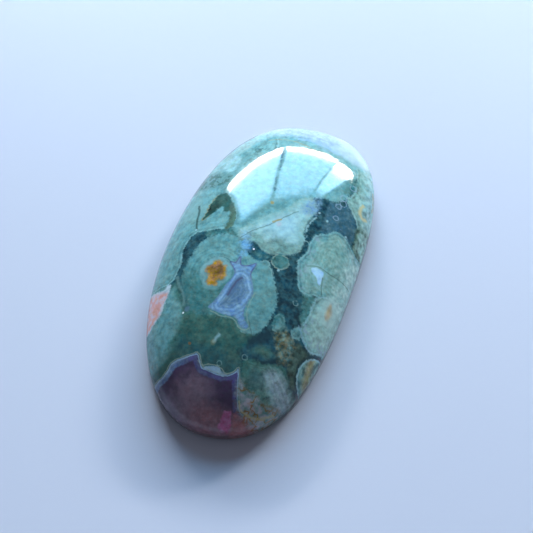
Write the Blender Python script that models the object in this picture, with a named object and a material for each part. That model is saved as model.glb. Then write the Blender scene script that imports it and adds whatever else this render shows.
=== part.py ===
"""Rainforest jasper cabochon: one polished stone with a low dome, a thin girdle and a flat back.

The stone lies on its back in the XY plane with its long axis along Y and its dome up. The origin is
the middle of the back. Seen from above, the outline is a long oval whose four corners stand out by
different amounts, as hand grinding leaves them.
"""

import math

import bmesh
import bpy

# Driving dimensions, in metres
LENGTH = 0.0378
WIDTH = 0.0201
HEIGHT = 0.0068
GIRDLE_HEIGHT = 0.0013
BACK_BEVEL = 0.0005

# How far each corner of the outline stands out from an oval, as a share of its distance to the middle
FAR_RIGHT_FULLNESS = 0.150
FAR_LEFT_FULLNESS = 0.040
NEAR_LEFT_FULLNESS = 0.005
NEAR_RIGHT_FULLNESS = 0.085

# A larger value keeps each corner's fullness to a shorter stretch of the outline
CORNER_FOCUS = 8

# The dome is close to an ellipse in section, a little fuller between the top and the girdle
DOME_POWER = 2.1

# Facets
OUTLINE_SIDES = 120
DOME_RINGS = 19
BEVEL_STEPS = 3

# Average colour of the green matrix and pale orbs, linear
STONE_COLOUR = (0.075, 0.185, 0.180, 1.0)
STONE_ROUGHNESS = 0.12


def clear_scene():
    for item in list(bpy.data.objects):
        bpy.data.objects.remove(item, do_unlink=True)


def fullness_at(turn):
    """Share by which the outline stands out from an oval at this turn around the stone."""
    corners = (FAR_RIGHT_FULLNESS, FAR_LEFT_FULLNESS, NEAR_LEFT_FULLNESS, NEAR_RIGHT_FULLNESS)
    fullness = 0.0
    for index, corner in enumerate(corners):
        nearness = math.cos(turn - math.radians(45 + 90 * index))
        fullness += corner * max(0.0, nearness) ** CORNER_FOCUS
    return fullness


def loop_around(share):
    """Points around the stone at a share of the way from its middle to its edge, before sizing."""
    points = []
    for step in range(OUTLINE_SIDES):
        turn = math.tau * step / OUTLINE_SIDES
        reach = share * (1.0 + fullness_at(turn) * share ** 2)
        points.append((math.cos(turn) * reach, math.sin(turn) * reach))
    return points


def middle_and_half(values):
    return (max(values) + min(values)) / 2, (max(values) - min(values)) / 2


def sized_loop(share):
    """The same points in metres, set so that the outline's box is WIDTH by LENGTH about the origin."""
    edge = loop_around(1.0)
    middle_x, half_x = middle_and_half([x for x, y in edge])
    middle_y, half_y = middle_and_half([y for x, y in edge])
    return [
        ((x - middle_x) / half_x * WIDTH / 2, (y - middle_y) / half_y * LENGTH / 2)
        for x, y in loop_around(share)
    ]


def dome_height(share):
    return GIRDLE_HEIGHT + (HEIGHT - GIRDLE_HEIGHT) * math.sqrt(1.0 - share ** DOME_POWER)


def extrude_to(mesh, face, loop, height):
    """Extrude a flat face once and set the corners of its new copy on the next loop up."""
    raised = bmesh.ops.extrude_discrete_faces(mesh, faces=[face])["faces"][0]
    for corner, (x, y) in zip(raised.verts, loop):
        corner.co = (x, y, height)
    return raised


def build_stone_mesh():
    mesh = bmesh.new()
    outline = sized_loop(1.0)
    back = mesh.faces.new([mesh.verts.new((x, y, 0.0)) for x, y in outline])
    back_edges = list(back.edges)

    # The girdle's wall, then the dome in rings that follow each other at equal angles of its section
    top = extrude_to(mesh, back, outline, GIRDLE_HEIGHT)
    for ring in range(1, DOME_RINGS):
        share = math.cos(math.pi / 2 * ring / DOME_RINGS)
        top = extrude_to(mesh, top, sized_loop(share), dome_height(share))

    crown = bmesh.ops.poke(mesh, faces=[top])["verts"][0]
    crown.co.z = HEIGHT

    # Extruding took the back with it, so it is filled again before its edge is ground off
    bmesh.ops.holes_fill(mesh, edges=back_edges, sides=OUTLINE_SIDES)
    bmesh.ops.bevel(
        mesh,
        geom=back_edges,
        offset=BACK_BEVEL,
        segments=BEVEL_STEPS,
        profile=0.5,
        affect="EDGES",
    )
    bmesh.ops.recalc_face_normals(mesh, faces=mesh.faces)
    return mesh


def make_stone_material():
    material = bpy.data.materials.new("jasper_polish")
    material.use_nodes = True
    shader = material.node_tree.nodes["Principled BSDF"]
    shader.inputs["Base Color"].default_value = STONE_COLOUR
    shader.inputs["Roughness"].default_value = STONE_ROUGHNESS
    shader.inputs["Metallic"].default_value = 0.0
    return material


def make_cabochon():
    stone = build_stone_mesh()
    data = bpy.data.meshes.new("cabochon")
    stone.to_mesh(data)
    stone.free()
    data.materials.append(make_stone_material())
    data.shade_smooth()
    data.set_sharp_from_angle(angle=math.radians(40))
    cabochon = bpy.data.objects.new("cabochon", data)
    bpy.context.scene.collection.objects.link(cabochon)
    return cabochon


clear_scene()
make_cabochon()
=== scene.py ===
"""Rainforest jasper cabochon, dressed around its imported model.

The stone is one closed mesh. Each marking in it, such as an orb, an agate pocket or a vein, is an
outline or a route seen from above, in millimetres from the middle of the back. The mesh carries how
far each of its points lies from every outline, and the material turns those distances into colour.
"""

import math

import bpy
import numpy as np
from mathutils import Matrix, Vector


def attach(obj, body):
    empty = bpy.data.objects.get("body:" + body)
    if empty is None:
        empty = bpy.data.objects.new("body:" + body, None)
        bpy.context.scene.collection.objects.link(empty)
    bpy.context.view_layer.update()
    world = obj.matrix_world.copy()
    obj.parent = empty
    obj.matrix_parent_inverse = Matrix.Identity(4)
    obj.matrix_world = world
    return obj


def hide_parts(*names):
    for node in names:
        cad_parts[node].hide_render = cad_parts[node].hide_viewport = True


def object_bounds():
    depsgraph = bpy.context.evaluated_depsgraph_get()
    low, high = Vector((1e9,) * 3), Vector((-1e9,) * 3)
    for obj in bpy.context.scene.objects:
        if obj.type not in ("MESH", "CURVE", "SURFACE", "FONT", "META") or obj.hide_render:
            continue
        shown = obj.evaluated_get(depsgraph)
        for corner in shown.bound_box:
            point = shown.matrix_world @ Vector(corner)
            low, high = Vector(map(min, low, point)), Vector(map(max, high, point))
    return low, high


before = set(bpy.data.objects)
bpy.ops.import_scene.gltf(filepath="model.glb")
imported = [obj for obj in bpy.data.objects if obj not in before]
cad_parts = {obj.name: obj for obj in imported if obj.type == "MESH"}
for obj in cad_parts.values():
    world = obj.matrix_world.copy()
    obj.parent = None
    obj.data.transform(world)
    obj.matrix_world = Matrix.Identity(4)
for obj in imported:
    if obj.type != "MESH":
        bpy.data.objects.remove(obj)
CAD_LOW, CAD_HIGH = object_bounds()

bl_info = {
    "name": "Rainforest jasper cabochon",
    "version": (1, 0, 0),
    "blender": (4, 5, 0),
    "location": "3D View > Sidebar > Jasper",
    "description": "Builds a polished jasper cabochon with orbs, agate pockets and veins",
    "category": "Add Mesh",
}

MM = 0.001

# How far each corner of the outline stands out from an oval, anticlockwise from the far right one
CORNER_FULLNESS = (0.150, 0.040, 0.005, 0.085)
CORNER_FOCUS = 8

# Steps of the back's rounded bevel, and the points that the outline and the dome's section are read at
BEVEL_STEPS = 4
OUTLINE_SAMPLES = 2400
SECTION_SAMPLES = 4001

# How far the markings shift sideways for each millimetre below the polished top
LEAN = (0.25, -0.15)

# How much narrower a marking gets for each millimetre below the polished top
TAPER = 0.06

# Distances are worked out this far round a marking, in millimetres, and start from one far beyond it
MARGIN = 1.5
FAR_AWAY = 99.0

# Outlines of areas, seen from above in millimetres: x to the right, y to the far end
AREAS = {
    "slate_pool": (
        (5.4, 4.2), (6.2, 4.2), (7.2, 4.9), (8.3, 4.4), (8.8, 5.4), (8.6, 6.8), (8.0, 7.9), (7.2, 8.8),
        (6.6, 8.2), (5.4, 8.2), (5.2, 7.2), (5.3, 6.0),
    ),
    "mid_seam": (
        (-5.6, -0.5), (-5.6, 0.6), (-4.4, 1.1), (-3.0, 1.6), (-2.0, 1.3), (-1.6, 0.0), (-3.0, 0.0),
        (-4.4, -0.4),
    ),
    "dark_facet": (
        (2.5, -11.2), (2.7, -10.4), (3.3, -10.0), (4.2, -9.6), (5.2, -9.8), (5.9, -10.4), (5.7, -10.9),
        (4.9, -11.2), (4.2, -11.5), (3.2, -11.6),
    ),
    "green_ground": (
        (-5.0, -8.3), (-1.0, -8.3), (2.8, -8.8), (2.7, -10.4), (2.1, -11.4), (2.6, -12.4), (3.4, -13.6),
        (3.2, -16.0), (-5.6, -16.0), (-4.5, -13.0), (-4.5, -10.5),
    ),
    "left_low": (
        (-9.9, -6.2), (-7.2, -6.3), (-6.6, -6.0), (-5.9, -6.9), (-5.0, -8.0), (-4.5, -9.0), (-4.3, -10.4),
        (-4.3, -12.5), (-4.2, -13.8), (-4.9, -15.2), (-5.6, -16.2), (-7.4, -15.6), (-9.6, -11.5),
        (-10.6, -8.0),
    ),
    "left_band": (
        (-11.0, -6.4), (-8.4, -6.6), (-7.2, -6.0), (-6.9, -5.0), (-6.9, -4.2), (-7.05, -3.2), (-7.3, -2.4),
        (-7.25, -1.4), (-7.0, -0.5), (-6.5, 0.1), (-5.6, 0.4), (-4.7, 0.75), (-3.8, 1.0), (-3.3, 1.5),
        (-3.1, 2.4), (-3.5, 3.5), (-4.4, 4.8), (-5.0, 6.0), (-4.6, 8.0), (-3.4, 10.6), (-2.2, 13.0),
        (-3.2, 15.5), (-6.0, 18.0), (-9.5, 16.0), (-11.5, 8.0), (-11.5, 0.0),
    ),
    "veiled": (
        (-3.2, 1.3), (-2.4, 0.6), (-1.6, 0.6), (-0.6, 2.0), (0.6, 3.6), (2.0, 5.4), (3.0, 7.0), (4.0, 8.0),
        (5.0, 8.2), (5.9, 8.4), (6.6, 9.4), (6.6, 11.0), (6.8, 12.6), (7.0, 13.6), (5.0, 15.5),
        (2.0, 16.4), (-2.0, 16.2), (-3.4, 14.0), (-2.8, 12.4), (-3.8, 10.2), (-5.0, 7.8), (-5.2, 5.6),
        (-4.1, 4.0),
    ),
    "far_end": (
        (-10.0, 12.5), (-7.0, 14.5), (-4.5, 14.9), (-2.6, 14.7), (0.0, 14.9), (2.0, 14.5), (4.2, 14.6),
        (6.4, 14.2), (8.0, 15.0), (9.0, 17.0), (6.0, 20.0), (0.0, 20.5), (-6.0, 20.0), (-11.0, 16.0),
    ),
    "right_upper": (
        (7.0, 8.9), (7.6, 8.3), (8.3, 7.6), (8.7, 6.9), (9.2, 7.1), (10.8, 7.4), (11.0, 13.0), (9.0, 18.0),
        (6.4, 15.0), (6.6, 13.6), (7.0, 12.0), (7.1, 10.4), (6.7, 9.6),
    ),
    "right_border": (
        (8.9, 4.4), (9.6, 3.8), (11.0, 3.6), (11.0, 7.6), (9.6, 7.2), (8.8, 7.1), (8.6, 6.2), (8.8, 5.3),
    ),
    "upper_orb": (
        (-2.3, 0.5), (-2.3, 1.2), (-1.7, 2.0), (-1.0, 3.0), (-0.1, 3.9), (0.8, 4.5), (1.5, 5.4), (2.1, 6.5),
        (2.7, 7.3), (3.3, 7.6), (3.9, 7.2), (4.3, 6.3), (4.2, 5.4), (3.95, 4.6), (3.85, 3.8), (4.05, 3.0),
        (4.25, 2.3), (4.3, 1.5), (4.15, 0.8), (3.7, 0.3), (3.0, -0.1), (2.3, -0.25), (1.6, -0.65),
        (0.9, -0.5), (0.2, -0.1), (-0.5, 0.3), (-1.3, 0.05), (-1.9, 0.1),
    ),
    "mid_disc": (
        (1.9, -0.9), (2.1, -0.45), (2.6, -0.25), (3.2, -0.3), (3.65, -0.7), (3.7, -1.2), (3.4, -1.75),
        (2.9, -1.95), (2.3, -1.8), (1.95, -1.4),
    ),
    "great_orb": (
        (-5.6, -1.0), (-5.0, -0.3), (-4.2, 0.15), (-3.2, 0.45), (-2.3, 0.4), (-1.6, -0.1), (-1.1, -0.9),
        (-0.5, -1.3), (0.1, -1.6), (0.6, -1.75), (1.0, -1.72), (1.3, -1.48), (1.62, -1.42), (1.86, -1.66),
        (1.92, -1.98), (2.2, -2.15), (2.42, -2.4), (2.6, -2.85), (3.0, -3.4), (3.35, -4.0), (3.65, -4.6),
        (3.85, -5.3), (3.92, -6.2), (3.9, -7.1), (3.75, -7.9), (3.4, -8.6), (2.9, -9.25), (2.2, -9.55),
        (1.4, -9.35), (0.8, -8.85), (0.2, -8.6), (-0.8, -8.75), (-1.7, -8.65), (-2.6, -8.95),
        (-3.5, -8.95), (-4.2, -8.6), (-4.8, -8.0), (-5.3, -7.2), (-5.9, -6.4), (-6.25, -5.6),
        (-6.35, -4.8), (-6.28, -3.9), (-6.15, -3.0), (-6.0, -2.1),
    ),
    "right_orb": (
        (5.0, 3.0), (5.5, 3.8), (6.2, 4.3), (6.6, 4.85), (7.2, 5.05), (8.0, 4.85), (8.6, 4.4), (9.4, 3.9),
        (11.0, 3.2), (11.2, -3.0), (9.6, -3.2), (8.0, -3.0), (7.0, -2.9), (6.4, -3.3), (5.8, -3.25),
        (5.3, -2.9), (4.95, -2.0), (4.55, -1.0), (4.35, -0.2), (4.6, 0.3), (4.9, 1.2), (4.85, 2.1),
    ),
    "low_orb": (
        (7.3, -3.0), (8.0, -2.4), (8.8, -2.2), (10.6, -2.4), (10.6, -6.5), (9.7, -7.5), (9.0, -8.1),
        (8.4, -8.4), (7.8, -8.1), (7.3, -7.6), (6.95, -7.1), (6.75, -6.6), (6.95, -6.0), (7.15, -5.2),
        (7.15, -4.2),
    ),
    "side_lobe": (
        (6.0, -3.2), (6.6, -3.0), (7.3, -3.2), (7.4, -4.2), (7.2, -5.4), (7.1, -6.0), (6.8, -6.35),
        (6.4, -6.0), (6.45, -5.2), (6.2, -4.2),
    ),
    "tan_spot": (
        (8.3, -3.9), (8.4, -3.0), (8.75, -2.3), (9.15, -2.8), (9.3, -3.7), (9.1, -4.5), (8.7, -4.7),
        (8.4, -4.4),
    ),
    "pale_facet": (
        (5.0, -12.1), (5.8, -11.7), (6.8, -11.8), (7.6, -12.5), (8.2, -13.6), (7.8, -14.9), (6.7, -15.1),
        (6.1, -14.3), (5.5, -13.4), (5.0, -12.8),
    ),
    "pale_patch": (
        (-6.9, 9.2), (-6.5, 8.7), (-6.0, 8.6), (-5.6, 9.1), (-5.5, 10.0), (-5.8, 10.9), (-6.3, 11.1),
        (-6.8, 10.4),
    ),
    "far_stain": (
        (-5.2, 12.6), (-4.6, 13.4), (-3.6, 13.2), (-2.9, 12.9), (-3.4, 12.0), (-4.0, 10.6), (-4.8, 9.2),
        (-5.2, 9.6), (-4.9, 11.0),
    ),
    "dark_spur": (
        (6.2, 9.9), (6.9, 10.2), (7.1, 11.2), (7.4, 12.2), (6.9, 12.8), (6.3, 12.6), (6.0, 11.6),
        (5.9, 10.6),
    ),
    "block": (
        (4.2, -6.75), (4.5, -6.38), (4.85, -6.33), (5.15, -6.65), (5.32, -7.2), (5.32, -7.8), (5.0, -8.2),
        (4.5, -8.22), (4.22, -7.85), (4.15, -7.25),
    ),
    "disc": (
        (6.1, -7.3), (6.3, -6.92), (6.7, -6.85), (7.05, -7.1), (7.15, -7.6), (6.9, -8.0), (6.4, -8.02),
        (6.12, -7.75),
    ),
    "moss": (
        (5.0, -7.9), (5.6, -7.4), (6.2, -8.0), (6.9, -8.4), (7.0, -9.2), (6.9, -10.2), (6.6, -10.9),
        (5.9, -11.0), (5.4, -10.3), (5.1, -9.6), (4.7, -8.9), (4.5, -8.4),
    ),
    "dark_flank": (
        (6.9, -8.4), (7.6, -8.3), (8.2, -8.7), (8.6, -8.9), (8.1, -9.6), (7.9, -10.4), (8.0, -11.4),
        (8.2, -12.2), (7.6, -12.4), (7.2, -11.6), (6.8, -10.8), (6.9, -9.6),
    ),
    "low_right": (
        (2.6, -12.2), (3.4, -11.7), (4.6, -11.6), (5.6, -11.3), (6.6, -11.1), (7.3, -11.9), (7.9, -12.6),
        (8.6, -12.8), (8.8, -14.2), (7.2, -16.6), (5.6, -16.4), (4.6, -14.9), (3.4, -14.4), (3.0, -13.4),
    ),
    "bronze": (
        (3.1, -14.0), (3.8, -14.5), (4.8, -14.8), (5.8, -15.0), (6.8, -14.9), (7.6, -15.0), (6.4, -16.9),
        (5.0, -17.1), (4.2, -16.8), (3.7, -16.4), (3.4, -15.6), (3.15, -14.8),
    ),
    "pebble": (
        (8.5, -8.9), (8.15, -9.4), (7.9, -10.0), (7.85, -10.7), (7.95, -11.4), (8.2, -12.0), (8.8, -12.4),
        (10.0, -11.0), (10.0, -8.4), (9.2, -8.3),
    ),
    "crescent": (
        (-6.65, 1.7), (-6.4, 1.8), (-6.15, 2.2), (-5.75, 2.5), (-5.6, 3.0), (-5.3, 3.5), (-4.95, 3.5),
        (-4.7, 3.05), (-4.3, 3.1), (-4.05, 3.0), (-3.9, 2.4), (-3.9, 1.7), (-3.9, 1.0),
        (-3.5, 0.95), (-3.2, 1.5), (-3.1, 2.2), (-3.25, 2.9), (-3.6, 3.6), (-4.05, 4.3), (-4.5, 4.85),
        (-4.95, 5.3), (-5.5, 5.5), (-6.05, 5.1), (-6.4, 4.4), (-6.55, 3.6), (-6.6, 2.6),
    ),
    "left_stain": (
        (-9.6, 6.4), (-8.6, 6.1), (-7.4, 6.2), (-6.3, 6.5), (-5.6, 7.2), (-5.8, 8.0), (-6.8, 8.1),
        (-7.8, 8.5), (-9.2, 8.4), (-10.4, 7.6),
    ),
    "dark_blob": (
        (-0.7, -0.5), (-0.2, -0.35), (0.4, -0.6), (1.1, -0.65), (1.7, -0.8), (1.9, -1.2), (1.7, -1.35),
        (1.3, -1.4), (0.9, -1.62), (0.5, -1.7), (0.1, -1.5), (-0.4, -1.15),
    ),
    "blue_smear": (
        (2.9, 5.6), (3.5, 5.2), (4.2, 5.4), (4.6, 6.2), (4.5, 7.3), (3.9, 7.8), (3.2, 7.2), (2.8, 6.4),
    ),
    "blue_strip": (
        (-2.0, 0.6), (-1.7, 1.3), (-1.2, 0.9), (-0.9, 0.2), (-0.6, -0.4), (-0.7, -1.0), (-0.9, -1.6),
        (-1.2, -1.9), (-1.5, -1.4), (-1.7, -0.5),
    ),
    "salmon": (
        (-7.9, -6.8), (-7.5, -6.3), (-7.05, -6.25), (-6.95, -7.5), (-6.95, -9.0), (-7.2, -10.0),
        (-7.5, -10.7), (-7.9, -11.3), (-8.9, -11.4), (-10.4, -9.4), (-10.4, -7.2), (-9.0, -6.95),
    ),
    "quartz": (
        (5.8, -0.35), (6.2, 0.0), (6.75, 0.05), (7.2, -0.15), (7.22, -0.9), (7.2, -1.6), (6.9, -1.5),
        (6.55, -1.0), (6.1, -0.75),
    ),
    "rust_cluster": (
        (-3.45, -3.1), (-3.15, -2.9), (-2.8, -2.95), (-2.6, -3.25), (-2.2, -3.4), (-2.05, -3.8),
        (-1.95, -4.3), (-2.1, -4.75), (-2.5, -4.9), (-2.6, -5.2), (-2.45, -5.5), (-2.9, -5.72),
        (-3.35, -5.62), (-3.5, -5.3), (-3.5, -4.8), (-3.8, -4.45), (-4.15, -4.15), (-3.95, -3.75),
        (-3.65, -3.5),
    ),
    "agate_star": (
        (-1.95, -2.7), (-1.4, -2.68), (-1.28, -2.25), (-1.15, -1.85), (-1.0, -2.25), (-0.8, -2.72),
        (-0.4, -2.75), (0.1, -2.5), (0.58, -2.12), (0.62, -2.5), (0.5, -3.0), (0.5, -3.5), (0.7, -3.9),
        (1.0, -4.5), (1.25, -5.0), (1.35, -5.5), (1.25, -5.9), (1.15, -6.3), (1.1, -6.9), (1.1, -7.4),
        (1.25, -7.9), (1.5, -8.3), (1.95, -8.7), (2.0, -8.98), (1.65, -9.05), (1.3, -8.95), (1.05, -8.7),
        (0.8, -8.4), (0.4, -8.25), (-0.2, -8.3), (-0.9, -8.3), (-1.6, -8.2), (-2.1, -8.12),
        (-2.38, -7.95), (-2.1, -7.5), (-1.85, -6.9), (-1.65, -6.2), (-1.55, -5.7), (-1.45, -5.2),
        (-1.2, -4.6), (-1.05, -4.1), (-1.15, -3.6), (-1.5, -3.2),
    ),
    "agate_core": (
        (-0.6, -4.0), (-0.2, -3.95), (0.1, -4.2), (0.45, -4.9), (0.75, -5.3), (0.7, -5.9), (0.55, -6.3),
        (0.35, -6.8), (0.0, -7.0), (-0.1, -7.4), (-0.8, -7.5), (-1.4, -7.6), (-1.3, -7.0), (-1.05, -6.4),
        (-0.9, -5.7), (-0.8, -5.0), (-0.7, -4.4),
    ),
    "end_pocket": (
        (-5.6, -16.4), (-5.1, -15.9), (-4.6, -15.5), (-4.25, -14.9), (-4.1, -14.25), (-3.7, -13.85),
        (-3.2, -13.55), (-2.6, -13.2), (-2.2, -12.97), (-1.85, -12.77), (-1.6, -12.9), (-1.45, -13.15),
        (-1.2, -13.5), (-0.9, -13.92), (-0.4, -14.02), (0.9, -14.1), (1.4, -14.0), (1.95, -13.75),
        (2.3, -13.35), (2.52, -12.95), (2.68, -13.3), (2.82, -13.8), (3.0, -14.5), (3.2, -15.1),
        (3.5, -15.8), (3.75, -16.35), (4.3, -16.65), (5.2, -16.75), (6.2, -16.6), (7.0, -17.5),
        (4.0, -20.0), (0.0, -20.4), (-4.0, -20.0), (-7.0, -17.5),
    ),
    "pocket_glow": (
        (-0.75, -13.97), (-0.5, -13.72), (-0.1, -13.55), (0.4, -13.45), (0.8, -13.5), (1.1, -13.72),
        (1.7, -13.82), (1.3, -14.02), (0.4, -14.1), (-0.4, -14.05),
    ),
    "magenta_patch": (
        (2.35, -16.95), (2.7, -16.8), (3.1, -16.7), (3.25, -17.3), (3.45, -18.0), (3.0, -18.4),
        (2.2, -18.4), (2.3, -17.7),
    ),
    "plum_shoulder": (
        (3.3, -16.7), (4.2, -16.75), (5.4, -16.8), (6.6, -16.8), (6.0, -19.0), (3.4, -19.6), (3.5, -18.0),
    ),
}

# Routes of lines, seen from above in millimetres
ROUTES = {
    "seam_left": (
        (-3.0, 0.9), (-2.5, 1.9), (-1.8, 2.9), (-1.1, 3.9), (-0.3, 4.6), (0.5, 5.1), (1.2, 5.9), (1.7, 7.0),
        (2.1, 8.0),
    ),
    "seam_right": (
        (-1.9, 0.3), (-1.4, 1.0), (-0.8, 1.6), (-0.1, 2.3), (0.6, 2.9), (1.3, 3.8), (2.0, 4.7), (2.6, 5.3),
    ),
    "olive_line": (
        (-7.75, 3.6), (-7.45, 2.9), (-7.25, 2.1), (-7.12, 1.3), (-6.8, 0.5),
    ),
    "dark_tail": (
        (-6.5, -3.2), (-6.5, -4.2), (-6.55, -5.0), (-6.35, -5.8), (-5.95, -6.3), (-5.45, -6.9),
        (-5.0, -7.8), (-4.6, -8.6),
    ),
    "pale_tail": (
        (-6.75, -5.3), (-6.3, -6.2), (-5.7, -6.8), (-5.2, -7.5), (-4.9, -8.3),
    ),
    "halo_arc": (
        (-3.2, -2.45), (-2.8, -2.34), (-2.4, -2.4), (-2.05, -2.58), (-1.8, -2.8),
    ),
    "core_seam": (
        (-0.2, -4.1), (-0.5, -4.4), (-0.7, -4.9), (-0.85, -5.6), (-0.95, -6.3),
    ),
    "core_seam_low": (
        (-0.2, -4.4), (-0.3, -5.2), (-0.6, -6.2), (-0.9, -7.0), (-1.3, -7.5),
    ),
    "dark_diagonal": (
        (2.6, -10.2), (3.2, -9.7), (3.8, -9.2), (4.3, -8.6),
    ),
    "orb_border": (
        (4.3, 2.3), (4.15, 3.2), (4.05, 4.0), (4.2, 4.8), (4.45, 5.5),
    ),
    "pale_fleck": (
        (-0.35, -10.4), (-0.5, -10.8), (-0.7, -11.3),
    ),
    "gold_fleck": (
        (0.6, 3.1), (0.95, 3.45), (1.3, 3.7),
    ),
    "cream_right": (
        (1.55, -5.3), (1.48, -5.9), (1.4, -6.6), (1.42, -7.3), (1.6, -7.9), (2.0, -8.4), (2.3, -8.9),
    ),
    "cream_below": (
        (-2.0, -8.35), (-1.4, -8.5), (-0.9, -8.6), (-0.3, -8.5), (0.4, -8.5), (0.8, -8.75), (1.15, -9.1),
        (1.5, -9.25), (1.85, -9.2), (2.15, -8.95),
    ),
    "orb_two_rim": (
        (4.1, 2.2), (4.6, 2.3), (4.92, 1.9), (5.0, 1.3), (4.82, 0.7), (4.62, 0.2), (4.35, -0.3),
    ),
    "quartz_line": (
        (5.4, -0.3), (5.9, 0.0), (6.5, 0.22), (7.1, 0.18), (7.6, 0.1), (8.2, 0.15), (9.0, 0.2),
        (9.8, 0.2),
    ),
    "quartz_crack": (
        (7.2, -0.7), (7.3, -1.3), (7.45, -1.9), (7.65, -2.4),
    ),
    "orb_crack": (
        (1.95, -8.2), (2.2, -8.7), (2.5, -9.1), (2.65, -9.5),
    ),
    "pocket_cream": (
        (-1.5, -13.45), (-1.0, -13.75), (-0.5, -13.5), (0.2, -13.4), (0.9, -13.5), (1.4, -13.75),
        (1.9, -13.65), (2.3, -13.2),
    ),
    "dark_streak": (
        (4.4, -11.6), (5.0, -11.35), (5.6, -11.05), (6.2, -10.9),
    ),
    # Painted reflection: the dark gap between two light panes' reflections.
    "pane_streak": (
        (-1.6, 12.9), (-1.3, 11.6), (-1.05, 10.5), (-0.9, 9.2), (-0.7, 8.0), (-0.5, 6.8),
    ),
    "far_arc": (
        (-3.6, 14.2), (-2.6, 14.6), (-1.6, 14.8), (0.0, 14.7), (1.6, 14.3), (3.0, 14.4),
    ),
    "far_streak": (
        (-0.6, 15.4), (0.6, 15.6), (2.4, 15.4), (4.2, 15.0),
    ),
    "gold_hook": (
        (8.45, 10.0), (8.3, 9.6), (8.3, 9.1), (8.5, 8.6), (8.85, 8.35), (9.15, 8.6),
    ),
    "edge_stain": (
        (8.8, 12.6), (9.05, 11.8), (9.3, 10.9), (9.35, 10.2),
    ),
    "low_crack": (
        (2.9, -12.3), (3.5, -12.1), (4.3, -12.2), (5.0, -12.0),
    ),
    "bronze_line": (
        (3.55, -15.7), (3.9, -16.3), (4.5, -16.5), (5.3, -16.45), (6.2, -16.0), (6.9, -15.3),
    ),
    "low_orb_rim": (
        (6.6, -6.6), (6.9, -7.05), (7.2, -7.5), (7.7, -8.0), (8.3, -8.35), (8.9, -8.1), (9.4, -7.6),
    ),
}

# Middles and radii of small round marks, seen from above in millimetres
LAVENDER_RINGS = (
    (6.35, 6.5, 0.26), (6.4, 9.3, 0.34), (6.55, 8.6, 0.36), (6.2, 8.0, 0.30), (6.9, 11.2, 0.34),
)
CELADON_RINGS = (
    (5.6, -4.6, 0.24), (2.75, -11.75, 0.26), (0.6, -13.1, 0.22), (-7.45, -3.6, 0.36),
)
PALE_DOTS = (
    (5.7, 5.65, 0.20), (4.65, 6.15, 0.16), (7.9, 5.05, 0.16), (2.9, -2.05, 0.18), (-6.85, 0.4, 0.15),
)
# Painted highlights: two white glints.
GLINTS = (
    (-0.2, -0.62, 0.13), (-4.65, -9.1, 0.13),
)

# Width of the camera's sensor in millimetres, and of the floor in metres
SENSOR_WIDTH = 36.0
FLOOR_SIZE = 3.0

# Each light pane's corners, anticlockwise from its low left one, as slopes seen from the stone,
# its brightness and the share of its height that its brightest strip takes up
PANES = (
    ((-0.465, 0.440), (0.017, 0.343), (0.030, 1.12), (-0.264, 1.21), 1.10, 0.055),
    ((0.056, 0.335), (0.560, 0.426), (0.540, 1.10), (0.079, 1.16), 0.85, 0.040),
    ((0.592, 0.450), (1.02, 0.455), (0.73, 1.14), (0.572, 1.07), 1.30, 0.120),
)

# Radiance of a pane from its low edge to its high edge
PANE_GLOW = (
    (116.0, 116.0, 114.0), (98.0, 100.0, 100.0), (15.0, 20.0, 25.0), (5.6, 9.2, 13.2), (4.6, 8.2, 12.2),
    (2.6, 5.4, 8.4), (0.0, 0.0, 0.0),
)

# Corners of the dim wall under the panes, in the same order, and its radiance
WALL = ((-0.9, -0.05), (1.3, -0.05), (1.1, 0.33), (-0.7, 0.36))
WALL_GLOW = (0.42, 0.50, 0.66)


def swatch(name, description, colour):
    """A property that holds a colour."""
    return bpy.props.FloatVectorProperty(
        name=name, description=description, default=colour, subtype="COLOR", min=0.0, max=1.0
    )


def number(name, description, default, **kind):
    """A property that holds a number. Its kind is its unit or subtype, where it has one."""
    return bpy.props.FloatProperty(name=name, description=description, default=default, **kind)


class JasperSizes(bpy.types.PropertyGroup):
    """Sizes of the stone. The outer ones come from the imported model."""

    width: number("Width", "Across the stone", CAD_HIGH.x - CAD_LOW.x, unit="LENGTH")
    length: number("Length", "Along the stone", CAD_HIGH.y - CAD_LOW.y, unit="LENGTH")
    height: number("Height", "From the back to the crown", CAD_HIGH.z, unit="LENGTH")
    girdle: number("Girdle", "Height of the upright edge", 1.3 * MM, unit="LENGTH")
    bevel: number("Back bevel", "Ground edge of the back", 0.5 * MM, unit="LENGTH")
    dome_power: number("Dome power", "2 is an ellipse in section, more is fuller", 2.1)
    dome_steps: bpy.props.IntProperty(
        name="Dome steps", description="Mesh steps from the crown to the edge, an even number", default=132
    )


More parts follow.
